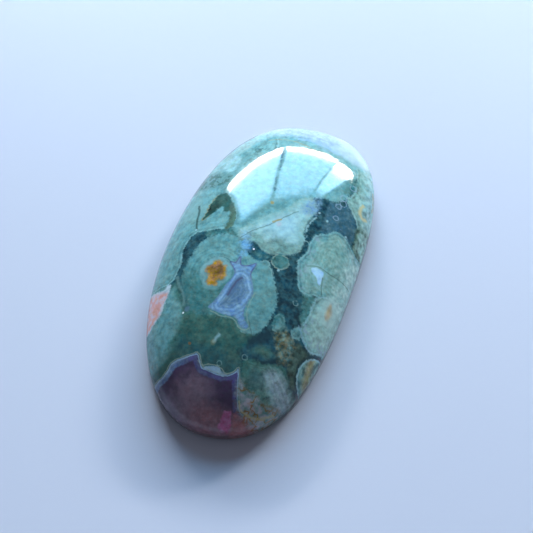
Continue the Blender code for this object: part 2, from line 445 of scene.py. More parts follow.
class JasperColours(bpy.types.PropertyGroup):
    """Colours of the rock's parts."""

    matrix: swatch("Matrix", "Dark ground between the orbs", (0.017, 0.070, 0.086))
    deep: swatch("Deep", "Darkest places of the matrix", (0.006, 0.030, 0.040))
    # Slate also lays the painted dark streak between two panes' reflections.
    slate: swatch("Slate", "Blue-grey pool of matrix", (0.032, 0.094, 0.122))
    # Green also lays the painted shade at the end pocket's left.
    green: swatch("Green", "Green ground by the end pocket", (0.022, 0.078, 0.066))
    leaf: swatch("Leaf", "Lighter clouds in the green ground", (0.044, 0.128, 0.102))
    # Deep teal also lays the painted shade at the upper left and the left edge.
    teal_deep: swatch("Deep teal", "Shaded side of the great orb", (0.044, 0.145, 0.140))
    teal: swatch("Teal", "Bands and orbs", (0.103, 0.250, 0.250))
    sage: swatch("Sage", "Grey-green orbs", (0.160, 0.300, 0.265))
    celadon: swatch("Celadon", "Pale orbs", (0.175, 0.330, 0.310))
    milk: swatch("Milk", "Palest orbs", (0.225, 0.405, 0.420))
    # Glint is the colour of painted highlights.
    glint: swatch("Glint", "The brightest specks", (0.800, 0.850, 0.900))
    ice: swatch("Ice", "Clear quartz and fine rims", (0.300, 0.500, 0.640))
    frost: swatch("Frost", "Palest side of the right orbs", (0.330, 0.500, 0.480))
    # Haze also lays the painted sheen at the far end's right.
    haze: swatch("Haze", "Pale facet and the fringe of the pink patch", (0.330, 0.425, 0.465))
    sky: swatch("Sky", "Blue cloud beside the great orb", (0.130, 0.310, 0.490))
    lichen: swatch("Lichen", "Middle of the low right orb", (0.240, 0.390, 0.350))
    # Lavender also lays the painted sheen over the far end.
    lavender: swatch("Lavender", "Clouds in the pale orbs", (0.190, 0.285, 0.370))
    periwinkle: swatch("Periwinkle", "Pale zone of the agate pocket", (0.190, 0.320, 0.500))
    agate_blue: swatch("Agate blue", "Outer band of the agate pocket", (0.115, 0.230, 0.340))
    agate_grey: swatch("Agate grey", "Inside of the agate pocket", (0.082, 0.160, 0.240))
    agate_dark: swatch("Agate dark", "Slanting seam of the agate pocket", (0.055, 0.110, 0.185))
    violet: swatch("Violet", "Dark bands of both pockets", (0.070, 0.072, 0.165))
    cream: swatch("Cream", "Thin lines round the pockets", (0.280, 0.340, 0.260))
    tan: swatch("Tan", "Oval spot in the low right orb", (0.340, 0.240, 0.130))
    straw: swatch("Straw", "Yellow hook and the line at the near right", (0.430, 0.400, 0.210))
    soot: swatch("Soot", "Darkest side of the crescent", (0.010, 0.034, 0.026))
    # Olive also lays the painted shade on the girdle.
    olive: swatch("Olive", "Lines and stains", (0.040, 0.074, 0.056))
    moss: swatch("Moss", "Right arm of the crescent and the right border", (0.064, 0.124, 0.086))
    plum: swatch("Plum", "End pocket near its bands", (0.046, 0.026, 0.060))
    plum_mist: swatch("Plum mist", "Middle of the end pocket", (0.180, 0.116, 0.148))
    # Plum rim and plum grey are partly painted reflection along the near edge.
    plum_rim: swatch("Plum rim", "End pocket at the stone's edge", (0.235, 0.125, 0.155))
    plum_grey: swatch("Plum grey", "End pocket at the stone's left edge", (0.165, 0.135, 0.185))
    rose: swatch("Rose", "Rosy brown right of the magenta patch", (0.300, 0.120, 0.130))
    magenta: swatch("Magenta", "Bright patch of the end pocket", (0.430, 0.115, 0.265))
    rust: swatch("Rust", "Edges of the iron cluster", (0.290, 0.150, 0.026))
    rust_brown: swatch("Rust brown", "Middle of the iron cluster", (0.150, 0.082, 0.026))
    salmon: swatch("Salmon", "Pink patch at the left edge", (0.580, 0.290, 0.250))
    blush: swatch("Blush", "Pale mottling of the pink patch", (0.400, 0.360, 0.390))
    gold: swatch("Gold", "Gold spots and moss", (0.250, 0.205, 0.060))


class JasperStage(bpy.types.PropertyGroup):
    """Camera, floor and light."""

    azimuth: number(
        "Azimuth", "Camera's turn round the stone from its near end", math.radians(18.87), subtype="ANGLE"
    )
    elevation: number(
        "Elevation", "Camera's height above the floor as an angle", math.radians(60.0), subtype="ANGLE"
    )
    distance: number("Distance", "Camera to stone", 132.75 * MM, unit="LENGTH")
    slide_right: number("Slide right", "Camera's step to its right", 0.913 * MM, unit="LENGTH")
    slide_up: number("Slide up", "Camera's step upwards in its view", 1.170 * MM, unit="LENGTH")
    lens: number("Lens", "Focal length for a 36 mm sensor, in millimetres", 84.68)
    floor_colour: swatch("Floor", "Pale floor", (0.38, 0.40, 0.47))
    room_colour: swatch("Room", "Dim light from all around", (0.56, 0.60, 0.72))
    room_strength: number("Room strength", "Strength of the dim light", 0.34)
    pane_distance: number("Pane distance", "Stone to light panes", 0.60, unit="LENGTH")
    pane_azimuth: number(
        "Pane azimuth", "Turn of the panes from the far end to the left", math.radians(20.0), subtype="ANGLE"
    )


def fullness_at(turn):
    """Share by which the outline stands out from an oval at this turn around the stone."""
    fullness = 0.0
    for index, corner in enumerate(CORNER_FULLNESS):
        nearness = np.cos(turn - math.radians(45 + 90 * index))
        fullness = fullness + corner * np.maximum(0.0, nearness) ** CORNER_FOCUS
    return fullness


def around(share, turn, sizes):
    """Places seen from above, at a share of the way from the stone's middle to its edge."""
    circle = np.linspace(0.0, math.tau, OUTLINE_SAMPLES, endpoint=False)
    edge = np.array((np.cos(circle), np.sin(circle))) * (1.0 + fullness_at(circle))
    middle = (edge.max(1) + edge.min(1)) / 2
    half = (edge.max(1) - edge.min(1)) / 2
    reach = share * (1.0 + fullness_at(turn) * share ** 2)
    x = (np.cos(turn) * reach - middle[0]) / half[0] * sizes.width / 2
    y = (np.sin(turn) * reach - middle[1]) / half[1] * sizes.length / 2
    return x, y


def dome_height(share, sizes):
    """Height of the polished surface at a share of the way from the stone's middle to its edge."""
    rise = np.sqrt(np.clip(1.0 - share ** sizes.dome_power, 0.0, 1.0))
    return sizes.girdle + (sizes.height - sizes.girdle) * rise


def even_shares(sizes):
    """Shares of the dome's rings, evenly spaced along the curve of its section."""
    fine = np.linspace(0.0, 1.0, SECTION_SAMPLES)
    reach = fine * (sizes.width + sizes.length) / 4
    steps = np.hypot(np.diff(reach), np.diff(dome_height(fine, sizes)))
    path = np.concatenate(((0.0,), np.cumsum(steps)))
    return np.interp(np.linspace(0.0, path[-1], sizes.dome_steps + 1), path, fine)


def square_rings(steps):
    """Rings of a square grid laid on a disc: for each of its points, its ring and its turn."""
    line = np.arange(-steps, steps + 1)
    u, v = np.meshgrid(line, line)
    ring = np.maximum(abs(u), abs(v))
    safe = np.maximum(ring, 1)
    across = u / safe * math.pi / 4
    along = v / safe * math.pi / 4
    side_turn = np.where(u < 0, math.pi - along, along)
    end_turn = np.where(v < 0, 1.5 * math.pi + across, 0.5 * math.pi - across)
    turn = np.where(abs(u) >= abs(v), side_turn, end_turn)
    return ring.ravel(), turn.ravel()


def grid_faces(steps):
    """Corner numbers of a square grid's faces."""
    side = 2 * steps + 1
    first = (np.arange(side - 1)[:, None] * side + np.arange(side - 1)[None]).reshape(-1, 1)
    return first + np.array((0, 1, side + 1, side))


def grid_rim(steps):
    """Numbers of a square grid's outer points, in order around it."""
    grid = np.arange((2 * steps + 1) ** 2).reshape(2 * steps + 1, -1)
    return np.concatenate((grid[0, :-1], grid[:-1, -1], grid[-1, :0:-1], grid[:0:-1, 0]))


def stone_points(sizes):
    """Share, turn and height of every point: the dome, the rows below it and the back."""
    ring, turn = square_rings(sizes.dome_steps)
    share = even_shares(sizes)[ring]
    blocks = [(share, turn, dome_height(share, sizes))]
    rim_turn = turn[grid_rim(sizes.dome_steps)]
    radius = np.hypot(*around(1.0, rim_turn, sizes))
    middle = (sizes.girdle + sizes.bevel) / 2
    rows = [(0.0, middle), (0.0, sizes.bevel)]
    for step in range(1, BEVEL_STEPS + 1):
        angle = math.pi / 2 * step / BEVEL_STEPS
        rows.append((sizes.bevel * (1 - math.cos(angle)), sizes.bevel * (1 - math.sin(angle))))
    for inset, height in rows:
        blocks.append((1.0 - inset / radius, rim_turn, np.full(len(rim_turn), height)))
    back_steps = sizes.dome_steps // 2
    ring, turn = square_rings(back_steps)
    inset = sizes.bevel / np.hypot(*around(1.0, turn, sizes))
    share = (1.0 - inset) * ring / (back_steps + 0.5)
    blocks.append((share, turn, np.zeros(len(ring))))
    return [np.concatenate(column) for column in zip(*blocks)], len(rows)


def stone_faces(steps, row_count):
    """Faces of the dome, the rows below it, the back and the strip that joins the back to them."""
    faces = grid_faces(steps).tolist()
    upper = grid_rim(steps)
    count = len(upper)
    start = (2 * steps + 1) ** 2
    for row in range(row_count):
        lower = start + row * count + np.arange(count)
        faces += np.stack((lower, np.roll(lower, -1), np.roll(upper, -1), upper), -1).tolist()
        upper = lower
    back = start + row_count * count
    faces += (back + grid_faces(steps // 2)[:, ::-1]).tolist()

    # The back's grid has half as many points around as the last row, so three faces join two steps
    inner = back + grid_rim(steps // 2)
    after = np.roll(inner, -1)
    even, odd = upper[0::2], upper[1::2]
    faces += np.stack((odd, even, inner), -1).tolist()
    faces += np.stack((after, odd, inner), -1).tolist()
    faces += np.stack((after, np.roll(even, -1), odd), -1).tolist()
    return faces


def rounded(points, closed):
    """Points along a smooth curve through the given ones, as complex numbers."""
    knots = np.array([complex(x, y) for x, y in points])
    if closed:
        knots = np.concatenate((knots[-1:], knots, knots[:2]))
    else:
        knots = np.concatenate((2 * knots[:1] - knots[1:2], knots, 2 * knots[-1:] - knots[-2:-1]))
    a, b, c, d = knots[:-3], knots[1:-2], knots[2:-1], knots[3:]
    pieces = []
    for t in (0.0, 1 / 3, 2 / 3):
        bend = (c - a) * t + (2 * a - 5 * b + 4 * c - d) * t ** 2 + (3 * b - a - 3 * c + d) * t ** 3
        pieces.append(b + bend / 2)
    curve = np.stack(pieces, 1).ravel()
    return curve if closed else np.append(curve, knots[-2])


def near_curve(curve, plan):
    """Which points of the plan lie in the curve's box or within the margin round it."""
    low = complex(curve.real.min() - MARGIN, curve.imag.min() - MARGIN)
    high = complex(curve.real.max() + MARGIN, curve.imag.max() + MARGIN)
    across = (plan.real > low.real) & (plan.real < high.real)
    return across & (plan.imag > low.imag) & (plan.imag < high.imag)


def beside(plan, start, end):
    """For one straight piece: share along it, offset to its left and distance from it."""
    length = abs(end - start)
    share = (plan - start) / (end - start)
    return share.real, share.imag * length, abs(share - np.clip(share.real, 0.0, 1.0)) * length


def distance_inside(outline, plan):
    """Distance in millimetres to a closed outline, positive inside it."""
    loop = rounded(outline, closed=True)
    near = near_curve(loop, plan)
    place = plan[near]
    distance = np.full(len(place), FAR_AWAY)
    inside = np.zeros(len(place), bool)
    for start, end in zip(loop, np.roll(loop, -1)):
        share, left, away = beside(place, start, end)
        distance = np.minimum(distance, away)
        crosses = (start.imag > place.imag) != (end.imag > place.imag)
        inside ^= crosses & ((left > 0) == (end.imag > start.imag))
    result = np.full(len(plan), -MARGIN)
    result[near] = np.where(inside, distance, -distance)
    return result


def offset_from(route, plan):
    """Offset to the left of an open route and how far past its ends, with a third column of noughts."""
    path = rounded(route, closed=False)
    near = near_curve(path, plan)
    place = plan[near]
    distance = np.full(len(place), FAR_AWAY)
    found = np.zeros((len(place), 3))
    last = len(path) - 2
    for index, (start, end) in enumerate(zip(path[:-1], path[1:])):
        share, left, away = beside(place, start, end)
        past = np.zeros(len(place))
        if index == 0:
            past = np.maximum(past, -share * abs(end - start))
        if index == last:
            past = np.maximum(past, (share - 1.0) * abs(end - start))
        offset = np.where(past > 0, left, np.sign(left) * away)
        closer = away < distance
        distance[closer] = away[closer]
        found[closer, :2] = np.stack((offset, past), -1)[closer]
    result = np.tile((MARGIN, MARGIN, 0.0), (len(plan), 1))
    result[near] = found
    return result


def make_stone_mesh(sizes):
    """The stone's closed mesh, with the fields that its material reads."""
    (share, turn, height), row_count = stone_points(sizes)
    x, y = around(share, turn, sizes)
    vertices = np.stack((x, y, height), -1)
    mesh = bpy.data.meshes.new("polished_stone")
    mesh.from_pydata(vertices.tolist(), [], stone_faces(sizes.dome_steps, row_count))
    mesh.shade_smooth()
    write_fields(mesh, vertices / MM, (dome_height(share, sizes) - height) / MM)
    return mesh


def write_fields(mesh, places, depth):
    """Write to the mesh where each point lies in the rock and among the markings."""
    plan = places[:, 0] + places[:, 1] * 1j + depth * complex(*LEAN)
    vectors = {"plan": np.column_stack((plan.real, plan.imag, np.zeros(len(plan))))}
    for name, route in ROUTES.items():
        vectors[name] = offset_from(route, plan)
    for name, values in vectors.items():
        mesh.attributes.new(name, "FLOAT_VECTOR", "POINT").data.foreach_set("vector", values.ravel())
    floats = {"depth": depth}
    for name, outline in AREAS.items():
        floats[name] = distance_inside(outline, plan) - depth * TAPER
    for name, values in floats.items():
        mesh.attributes.new(name, "FLOAT", "POINT").data.foreach_set("value", values)


class Wire:
    """A value or colour in a material. Python's own operators on it add the nodes for the maths."""

    def __init__(self, nodes, node, output):
        self.nodes = nodes
        self.socket = node.outputs[output]
        self.name = f"{node.name}, {output}"

    def __repr__(self):
        return self.name

    def __add__(self, other):
        return self.nodes.math("ADD", self, other)

    def __sub__(self, other):
        return self.nodes.math("SUBTRACT", self, other)

    def __rsub__(self, other):
        return self.nodes.math("SUBTRACT", other, self)

    def __mul__(self, other):
        return self.nodes.math("MULTIPLY", self, other)

    def __abs__(self):
        return self.nodes.math("ABSOLUTE", self)

    __radd__ = __add__
    __rmul__ = __mul__


class Nodes:
    """The nodes of one material."""

    def __init__(self, material):
        material.use_nodes = True
        self.tree = material.node_tree
        self.made = {}

    def add(self, kind, settings, sockets, output=0):
        """Add a node, set it up, then fill its sockets with wires or constants. Equal nodes are one."""
        recipe = f"{kind} {settings} {sockets}"
        if recipe not in self.made:
            node = self.tree.nodes.new(kind)
            for name, value in settings.items():
                setattr(node, name, value)
            for name, value in sockets.items():
                self.fill(node.inputs[name], value)
            self.made[recipe] = node
        return Wire(self, self.made[recipe], output)

    def fill(self, socket, value):
        if isinstance(value, Wire):
            self.tree.links.new(value.socket, socket)
        elif socket.type == "RGBA":
            socket.default_value = (*value, 1.0)
        else:
            socket.default_value = value

    def feed(self, sockets):
        """Fill the shader's own sockets."""
        shader = self.tree.nodes["Principled BSDF"]
        for name, value in sockets.items():
            self.fill(shader.inputs[name], value)

    def math(self, operation, *values):
        return self.add("ShaderNodeMath", {"operation": operation}, dict(enumerate(values)))

    def larger(self, one, other):
        return self.math("MAXIMUM", one, other)

    def mix(self, share, under, over):
        return self.add("ShaderNodeMix", {"data_type": "RGBA"}, {0: share, 6: under, 7: over}, 2)

    def step(self, value, start, end):
        """0 before start, 1 after end and a smooth rise between them. Start may be the larger."""
        sockets = {"Value": value, "From Min": start, "From Max": end}
        settings = {"interpolation_type": "SMOOTHSTEP", "clamp": False}
        return self.add("ShaderNodeMapRange", settings, sockets)

    def noise(self, place, scale, detail, output="Fac"):
        sockets = {"Vector": place, "Scale": scale, "Detail": detail}
        return self.add("ShaderNodeTexNoise", {}, sockets, output)

    def field(self, name, output="Fac"):
        return self.add("ShaderNodeAttribute", {"attribute_name": name}, {}, output)

    def parts(self, colour):
        return [self.add("ShaderNodeSeparateColor", {}, {"Color": colour}, part) for part in range(3)]


class Rock(Nodes):
    """Nodes of the stone's material: the noises that it shares and the colour laid so far.

    Places, widths and reaches are in millimetres, and shares run from 0 to 1.
    """

    def __init__(self, material):
        super().__init__(material)
        place = self.add("ShaderNodeTexCoord", {}, {}, "Object")
        self.place = self.add("ShaderNodeMapping", {}, {"Vector": place, "Scale": (1 / MM,) * 3})
        self.plan = self.field("plan", "Vector")
        self.east, self.north = self.parts(self.field("plan", "Color"))[:2]
        self.mottle = self.noise(self.place, 1.7, 3)
        self.fine = self.noise(self.place, 8.0, 1)
        self.ragged, self.ragged_too, self.patches = self.spread(2.6, 4)
        self.wander, self.wander_too, self.drift = self.spread(0.8, 2)
        self.grit, self.speck, tinge = self.spread(4.5, 2)
        self.relief = (self.mottle - 0.5) * 1.8 + self.grit * 0.12 + (self.fine - 0.5) * 0.3
        self.edge = self.ragged * 0.09 + self.wander * 0.07 + self.grit * 0.05
        tinge = tinge * 0.6 + self.patches * 0.9 + self.drift * 0.7
        self.hue = 0.5 - tinge * 0.028
        self.saturation = 1.0 - tinge * 0.22
        self.clouds = self.step(self.patches + self.drift * 0.5, -0.1, 0.5)
        self.colour = None

    def spread(self, scale, detail):
        """Three noises about zero that don't follow each other."""
        return [(part - 0.5) * 3.0 for part in self.parts(self.noise(self.place, scale, detail, "Color"))]

    def shaded(self, colour, relief, extra=0.0):
        """The colour with the rock's mottling in its brightness and a drift in its hue."""
        sockets = {
            "Hue": self.hue,
            "Saturation": self.saturation,
            "Value": self.relief * relief + (extra + 1.0),
            "Color": colour,
        }
        return self.add("ShaderNodeHueSaturation", {}, sockets)

    def reach(self, name, rough=1.0):
        """How far inside the named outline a point is, with a natural edge."""
        return self.field(name) + self.edge * rough

    def within(self, name, start, end, rough=1.0):
        """Share that rises from one reach inside the named outline to another."""
        return self.step(self.reach(name, rough), start, end)

    def eastward(self, start, end, drift=0.0):
        """Share that rises from one place to another across the stone, with a wandering edge."""
        return self.step(self.east + self.drift * drift if drift else self.east, start, end)

    def northward(self, start, end, drift=0.0):
        """Share that rises from one place to another along the stone, with a wandering edge."""
        return self.step(self.north + self.drift * drift if drift else self.north, start, end)

    def away(self, x, y, ragged=0.08):
        """Distance from a place on the stone, with a natural edge."""
        sockets = {0: self.plan, 1: (x, y, 0.0)}
        distance = self.add("ShaderNodeVectorMath", {"operation": "DISTANCE"}, sockets, "Value")
        return distance + self.ragged_too * ragged

    def line(self, value, half):
        """1 where value is 0, falling to 0 at half a width to either side."""
        return self.step(abs(value), half, 0.0)

    def ripples(self, distance, period):
        """Fine growth rings that follow a distance."""
        return self.math("SINE", distance * (math.tau / period) + self.ragged * 2.2)

    def lay(self, share, colour, relief=None, extra=0.0):
        """Lay a colour over what is there, mottled where a relief is given."""
        if relief is not None:
            colour = self.shaded(colour, relief, extra)
        self.colour = self.mix(share, self.colour, colour)

    def body(self, name, edge, middle, depth=1.2, rim=None, rim_share=0.5, soft=0.06, relief=0.7,
             ripple=0.0):
        """Lay an area that turns from its edge colour to its middle colour, with a pale and a dark rim."""
        reach = self.reach(name)
        tone = self.mix(self.step(reach + self.drift * 0.5, 0.0, depth), edge, middle)
        extra = 0.0
        if rim:
            extra = self.line(reach - 0.26, 0.14) * -0.2
        if ripple:
            extra = self.ripples(reach, 0.40) * ripple + extra
        self.lay(self.step(reach + self.grit * 0.1, -soft, soft), tone, relief, extra)
        if rim:
            self.lay(self.line(reach - 0.05, 0.11) * self.step(self.patches, -0.4, 0.3) * rim_share, rim)

    def vein(self, name, colour, half, share=1.0, ragged=0.05):
        """Lay a line of the given half width along the named route."""
        offset, past = self.parts(self.field(name, "Color"))[:2]
        offset = offset + self.ragged_too * ragged + self.wander_too * ragged
        self.lay(self.line(offset, half) * self.step(past, 0.15, 0.0) * share, colour)

    def dot(self, x, y, radius, colour, share=1.0, soft=0.6):
        """Lay a round spot whose edge is soft over a share of its radius."""
        self.lay(self.step(self.away(x, y), radius, radius * (1.0 - soft)) * share, colour)

    def ring(self, x, y, radius, colour, half, share):
        """Lay a thin broken ring."""
        broken = self.step(self.ragged, -0.5, 0.0) * share
        self.lay(self.line(self.away(x, y) - radius, half) * broken, colour)


def lay_ground(rock, tint):
    """Dark matrix with pale grains, its blue-grey pool, the green ground and two lighter facets."""
    ground = rock.mix(rock.step(rock.mottle + rock.drift * 0.10, 0.32, 0.64), tint.deep, tint.matrix)
    grains = rock.step(rock.speck, 0.3, 0.8)
    rock.colour = rock.shaded(ground, 0.6)
    rock.lay(grains * 0.10, tint.teal_deep)
    pool = rock.mix(grains * 0.25, rock.shaded(tint.slate, 0.9), tint.lavender)
    rock.lay(rock.within("slate_pool", -0.2, 0.2, 1.5), pool)
    green = rock.mix(rock.step(rock.drift + rock.patches * 0.5, -0.9, 1.0), tint.green, tint.leaf)
    green = rock.mix(rock.northward(-11.2, -12.6, 0.6) * 0.45, green, tint.matrix)
    green = rock.mix(grains * 0.06, rock.shaded(green, 0.9), tint.teal)
    rock.lay(rock.within("green_ground", -0.4, 0.4, 2.5), green)
    rock.body("mid_seam", tint.matrix, tint.teal_deep, 0.6, soft=0.3, relief=1.2)
    rock.body("dark_facet", tint.matrix, tint.leaf, 1.2, soft=0.35, relief=1.0)


def lay_bodies(rock, tint):
    """Pale bands and orbs between the seams of matrix, with painted reflection over the far end and painted
    shade at the upper left and the left edge.
    """
    rock.body("left_low", tint.leaf, tint.teal, 1.0, soft=0.5, relief=0.8)
    rock.body("veiled", tint.teal, tint.teal, soft=0.15, relief=0.7)
    rock.body("left_band", tint.teal, tint.teal, rim=tint.milk, soft=0.12, ripple=0.05)
    rock.dot(-8.2, 3.0, 2.6, tint.celadon, 0.5, 1.0)
    rock.body("right_upper", tint.sage, tint.milk, 3.0, tint.milk, soft=0.15, relief=0.9)
    rock.body("right_border", tint.moss, tint.sage, 0.8, soft=0.25, relief=1.6)
    # Partly painted reflection: the far end is laid paler, lavender over it and pale haze towards its right,
    # standing in for the bright sheen along the far edge.
    rock.body("far_end", tint.teal, tint.lavender, 1.8, soft=0.4)
    rock.lay(rock.within("far_end", -0.2, 0.8) * rock.eastward(2.0, 4.0, 1.0) * 0.6, tint.haze)
    # Painted shade: deep teal darkens the upper left of the far end and the stone's left edge.
    shade = rock.eastward(-4.6, -5.8, 1.0) * rock.northward(10.2, 11.4)
    rock.lay(shade * (rock.clouds * 0.4 + 0.4), tint.teal_deep, 0.8)
    side = rock.eastward(-8.0, -8.8, 0.4) * rock.northward(5.2, 6.4) * rock.northward(8.8, 7.8)
    rock.lay(side * 0.9, tint.teal_deep, 1.0)
    rock.body("upper_orb", tint.celadon, tint.milk, 1.2, soft=0.2, relief=0.45)
    inside = rock.within("upper_orb", -0.1, 0.2)
    rock.lay(inside * rock.step(rock.away(1.7, 3.2), 2.2, 0.4) * 0.2, tint.ice)
    rock.lay(inside * rock.northward(2.2, 0.7, 1.0) * 0.85, tint.sage, 0.8, -0.3)
    rock.body("side_lobe", tint.teal_deep, tint.teal_deep, 0.3, soft=0.2, relief=1.3)
    rock.body("mid_disc", tint.teal_deep, tint.teal_deep, 0.5, tint.cream, 0.5, relief=1.0)
    rock.body("low_right", tint.leaf, tint.sage, 2.6, soft=0.25, relief=1.4)
    rock.dot(4.5, -13.2, 1.6, tint.matrix, 0.6, 1.0)
    rock.body("right_orb", tint.teal, tint.sage, 1.2, tint.milk, 0.4, soft=0.15, relief=0.65, ripple=0.09)
    rock.body("low_orb", tint.celadon, tint.lichen, 1.0, tint.ice, 0.25, soft=0.2, relief=0.9, ripple=0.06)
    rock.body("block", tint.teal_deep, tint.teal, 0.9, tint.celadon, 0.5, soft=0.12)
    rock.body("disc", tint.teal, tint.sage, 0.9, tint.celadon, 0.4, soft=0.12, relief=1.0)
    rock.body("dark_flank", tint.olive, tint.sage, 2.0, soft=0.2, relief=1.6)


def lay_lights(rock, tint):
    """Lavender clouds in the right orbs, the upper one's pale outer side and the streaked pale facet."""
    orb = rock.reach("right_orb")
    share = rock.step(orb, 0.0, 0.3) * rock.step(orb, 1.5, 0.6) * rock.eastward(6.6, 5.4)
    rock.lay(share * rock.clouds * 0.5, tint.lavender)
    low = rock.reach("low_orb")
    share = rock.step(low, 0.0, 0.3) * rock.step(low, 1.6, 0.5) * rock.northward(-4.8, -5.6)
    rock.lay(share * rock.clouds * 0.7, tint.lavender)
    share = rock.step(orb, 0.0, 0.5) * rock.eastward(7.6, 9.6, 0.8)
    rock.lay(share * (rock.clouds * 0.4 + 0.45), tint.frost, 0.8)
    streaks = rock.ripples(rock.east * 0.64 + rock.north * 0.77, 0.55) * 0.5 + 0.5
    rock.lay(rock.within("pale_facet", -0.4, 0.8, 2.0) * (streaks * 0.35 + 0.5), tint.haze, 0.9)


def lay_great_orb(rock, tint):
    """The great orb, paler at its upper left and right and deep teal at its lower left."""
    reach = rock.reach("great_orb", 1.6)
    right = rock.step(rock.east + rock.wander * 0.3, 0.4, 1.6)
    pale = rock.larger(rock.northward(-5.8, -3.2, 0.8), right * 0.95) * 0.85
    middle = rock.away(-3.0, -4.2)
    growth = rock.ripples(middle, 0.37) * rock.step(middle, 4.2, 2.6) * 0.07
    tone = rock.mix(pale, tint.teal_deep, tint.teal)
    tone = rock.shaded(tone, 0.75, growth - rock.line(reach - 0.9, 0.35) * 0.12)
    flecks = rock.step(rock.speck + rock.patches * 0.3, 0.3, 0.9) * (1 - pale) * 0.3
    tone = rock.mix(flecks, tone, rock.shaded(tint.celadon, 0.6))
    rock.lay(rock.step(reach + rock.grit * 0.12, -0.14, 0.14), tone)
    scallop = rock.line(reach - 0.08, 0.12) * rock.eastward(0.4, 1.2) * rock.northward(-4.0, -2.4)
    rock.lay(scallop * 0.7, tint.celadon)


def lay_darks(rock, tint):
    """Crescent, stains, blue smears, seams and blobs of dark matrix on the pale bodies, and a painted dark
    reflection in the highlight.
    """
    reach = rock.reach("crescent", 1.8)
    dark = rock.mix(rock.eastward(-4.6, -3.4, 0.3), tint.green, tint.moss)
    dark = rock.mix(rock.step(rock.away(-6.2, 3.0), 1.5, 0.3) * 0.9, dark, tint.soot)
    rock.lay(rock.step(reach, -0.10, 0.16), dark, 1.0)
    rock.lay(rock.line(reach, 0.12) * rock.eastward(-5.9, -6.3) * 0.5, tint.gold)
    mottled = rock.step(rock.mottle + rock.grit * 0.06, 0.40, 0.56)
    rock.lay(rock.within("left_stain", -0.4, 0.4, 3.0) * mottled * 0.95, tint.green, 1.2)
    stain = rock.within("far_stain", -0.1, 0.8, 3.0) * rock.step(rock.mottle, 0.56, 0.42)
    rock.lay(stain * 0.6, tint.green, 1.2)
    rock.body("pale_patch", tint.milk, tint.sage, 0.8, soft=0.35)
    rock.lay(rock.within("dark_spur", -0.2, 0.3, 2.0) * 0.75, tint.teal_deep, 1.2)
    rock.body("dark_blob", tint.matrix, tint.teal_deep, 0.9, soft=0.2, relief=1.8)
    rock.lay(rock.within("blue_smear", -0.3, 0.5, 3.0) * (mottled * 0.5 + 0.4), tint.agate_blue, 0.8, -0.1)
    strip = rock.within("blue_strip", -0.4, 0.5, 3.0) * rock.step(rock.mottle, 0.30, 0.50)
    rock.lay(strip * 0.7, tint.sky, 0.9)
    speckled = rock.step(rock.mottle + rock.ragged * 0.06, 0.60, 0.44)
    rock.vein("seam_left", tint.teal_deep, 0.6, speckled * 0.3, 0.2)
    rock.vein("seam_right", tint.olive, 0.12, 0.55, 0.08)
    rock.vein("olive_line", tint.soot, 0.20, 0.8)
    rock.vein("dark_tail", tint.matrix, 0.4, 0.5, 0.2)
    rock.vein("pale_tail", tint.sage, 0.25, 0.4, 0.1)
    # Painted reflection: a dark slate streak along the gap between two light panes' reflections.
    rock.vein("pane_streak", tint.slate, 0.22, speckled, 0.12)
    rock.vein("dark_diagonal", tint.deep, 0.8, 0.9, 0.1)
    rock.vein("dark_streak", tint.deep, 0.24, 0.8, 0.08)


def lay_end_pocket(rock, tint):
    """Plum pocket at the near end inside cream, pale blue and violet bands, with painted shade at its left
    and a paler near edge that is partly painted reflection.
    """
    reach = rock.reach("end_pocket", 0.6)
    # Painted shade: darker green over and round the pocket's left end.
    rock.lay(rock.step(reach, -1.6, -0.2) * rock.eastward(-3.0, -4.2), tint.green, 0.8)
    rock.lay(rock.within("pocket_glow", -0.1, 0.12) * 0.8, tint.lavender, 0.8, 0.3)
    rock.lay(rock.line(reach + 0.10, 0.10) * 0.55, tint.cream)
    rock.lay(rock.step(reach, -0.04, 0.03), tint.lavender, 0.8)
    left = rock.eastward(-2.2, -3.4, 0.3)
    band = rock.mix(left * 0.5, tint.violet, tint.agate_blue)
    rock.lay(rock.step(reach - left * 0.10, 0.08, 0.16), band, 0.9)
    rock.lay(rock.line(reach - 0.17, 0.05) * 0.5, tint.plum)
    centre = rock.step(rock.away(-0.9, -16.4) + rock.drift * 0.5, 3.0, 0.6)
    mist = rock.mix(centre, tint.plum, tint.plum_mist)
    # Partly painted reflection: towards the stone's near edge the pocket turns paler, rosy at the right and
    # lavender-grey at the left, standing in for a pale reflection along the rim.
    rim = rock.mix(rock.eastward(1.0, -3.0, 0.5), tint.plum_rim, tint.plum_grey)
    mist = rock.mix(rock.northward(-16.2, -17.8, 0.3), mist, rim)
    inner = reach + rock.wander_too * 0.12 + rock.grit * 0.04 - left * 0.06
    rock.lay(rock.step(inner, 0.46, 0.66), mist, 0.6)
    rock.vein("pocket_cream", tint.cream, 0.09, 0.6, 0.08)
    rock.lay(rock.within("plum_shoulder", -0.25, 0.25, 2.0) * 0.8, tint.rose, 0.7)
    rock.lay(rock.within("magenta_patch", -0.08, 0.12) * 0.9, tint.magenta, 0.7)


